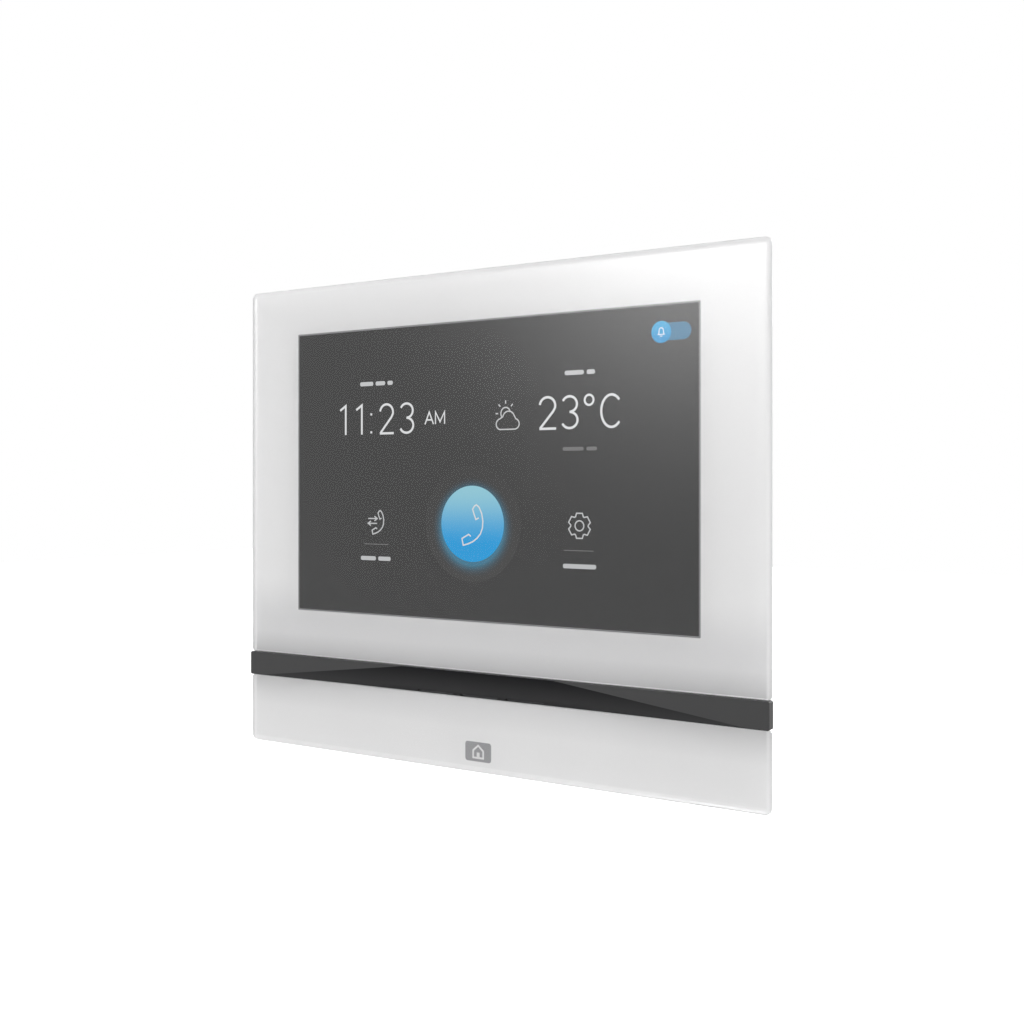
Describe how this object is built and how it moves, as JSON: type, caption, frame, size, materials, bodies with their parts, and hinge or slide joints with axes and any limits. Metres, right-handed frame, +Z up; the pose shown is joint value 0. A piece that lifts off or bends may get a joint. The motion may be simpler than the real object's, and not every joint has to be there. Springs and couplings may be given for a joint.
{
  "type": "video door-entry monitor",
  "caption": "Slim wall-mounted door-entry touch monitor with a white glass front, a dark faceted speaker band and a recessed housing on a steel wall bracket.",
  "frame": {"origin": "centre of the wall bracket's wall side, level with the centre of the glass front", "axes": "+Z up, +Y into the wall, so the glass front faces -Y; +X to the right for a person facing the front"},
  "size_m": [0.194, 0.0273, 0.1574],
  "materials": {
    "clear_glass": "polished, pencil-ground edge",
    "white_print": "ceramic back print seen through glass",
    "band_plastic": "satin dark grey, fine texture",
    "housing_plastic": "fine moulded texture",
    "tape": "foam tape",
    "optical_gel": "clear gel",
    "sensor_glass": "coated glass",
    "display_black": "display cell",
    "pressed_steel": "pressed sheet",
    "zinc_steel": "zinc plated",
    "screw_steel": "plated",
    "aluminium_plate": "mill finish",
    "board": "solder mask",
    "chip_black": "moulded resin",
    "black_plastic": "moulded",
    "terminal_green": "moulded",
    "contact_gold": "gold flash",
    "tin": "tin plated",
    "pad_blue": "soft silicone",
    "capacitor_sleeve": "shrink sleeve",
    "ferrite": "sintered",
    "flex_orange": "polyimide film",
    "connector_ivory": "moulded",
    "grey_plastic": "moulded",
    "light_plastic": "moulded",
    "soft_rubber": "matt",
    "mesh_cloth": "fine acoustic weave",
    "cone_paper": "coated paper",
    "copper": "enamelled wire",
    "label_paper": "blank film label",
    "wire_insulation": "PVC"
  },
  "bodies": {
    "bracket": {"wall_bracket": "zinc_steel"},
    "unit": {"upper_glass": "clear_glass", "lower_glass": "clear_glass", "upper_print": "white_print", "lower_print": "white_print", "upper_adhesive": "tape", "lower_adhesive": "tape", "optical_bond": "optical_gel", "touch_sensor": "sensor_glass", "display_panel": "display_black", "display_backlight": "pressed_steel", "display_clamps": "zinc_steel", "clamp_screws": "screw_steel", "front_frame": "housing_plastic", "accent_band": "band_plastic", "acoustic_mesh": "mesh_cloth", "rear_housing": "housing_plastic", "housing_screws": "screw_steel", "rubber_bumpers": "soft_rubber", "rating_label": "label_paper", "main_board": "board", "board_screws": "screw_steel", "processor_shield": "tin", "thermal_pad": "pad_blue", "heat_spreader": "aluminium_plate", "processor": "chip_black", "memory_chips": "chip_black", "network_socket": "black_plastic", "socket_shield": "tin", "network_contacts": "contact_gold", "network_transformer": "chip_black", "power_transformer": "ferrite", "power_inductors": "ferrite", "capacitors": "capacitor_sleeve", "terminal_header": "terminal_green", "header_pins": "tin", "display_flex": "flex_orange", "touch_flex": "flex_orange", "flex_connectors": "connector_ivory", "reset_switch": "black_plastic", "speaker_basket": "black_plastic", "speaker_magnet": "ferrite", "speaker_pole": "zinc_steel", "speaker_top_plate": "zinc_steel", "speaker_surround": "soft_rubber", "speaker_gasket": "soft_rubber", "speaker_screws": "screw_steel", "speaker_leads": "wire_insulation", "microphone": "tin", "microphone_boot": "soft_rubber", "microphone_leads": "wire_insulation"},
    "reset_button": {"reset_plunger": "light_plastic", "reset_cap": "grey_plastic"},
    "plug": {"terminal_plug": "terminal_green", "plug_screws": "screw_steel"},
    "cone": {"speaker_cone": "cone_paper", "voice_coil": "copper"}
  },
  "joints": [
    {"name": "unit_lift", "type": "slide", "parent": "bracket", "child": "unit", "axis": [0, 0, 1], "range_m": [0, 0.008]},
    {"name": "reset_press", "type": "slide", "parent": "unit", "child": "reset_button", "axis": [0, -1, 0], "range_m": [0, 0.00025], "stiffness_N_per_m": 4000, "springref_m": -0.0002},
    {"name": "plug_pull", "type": "slide", "parent": "unit", "child": "plug", "axis": [0, 0, -1], "range_m": [0, 0.009]},
    {"name": "cone_stroke", "type": "slide", "parent": "unit", "child": "cone", "axis": [0, -1, 0], "range_m": [-0.0004, 0.0004], "stiffness_N_per_m": 1500}
  ]
}
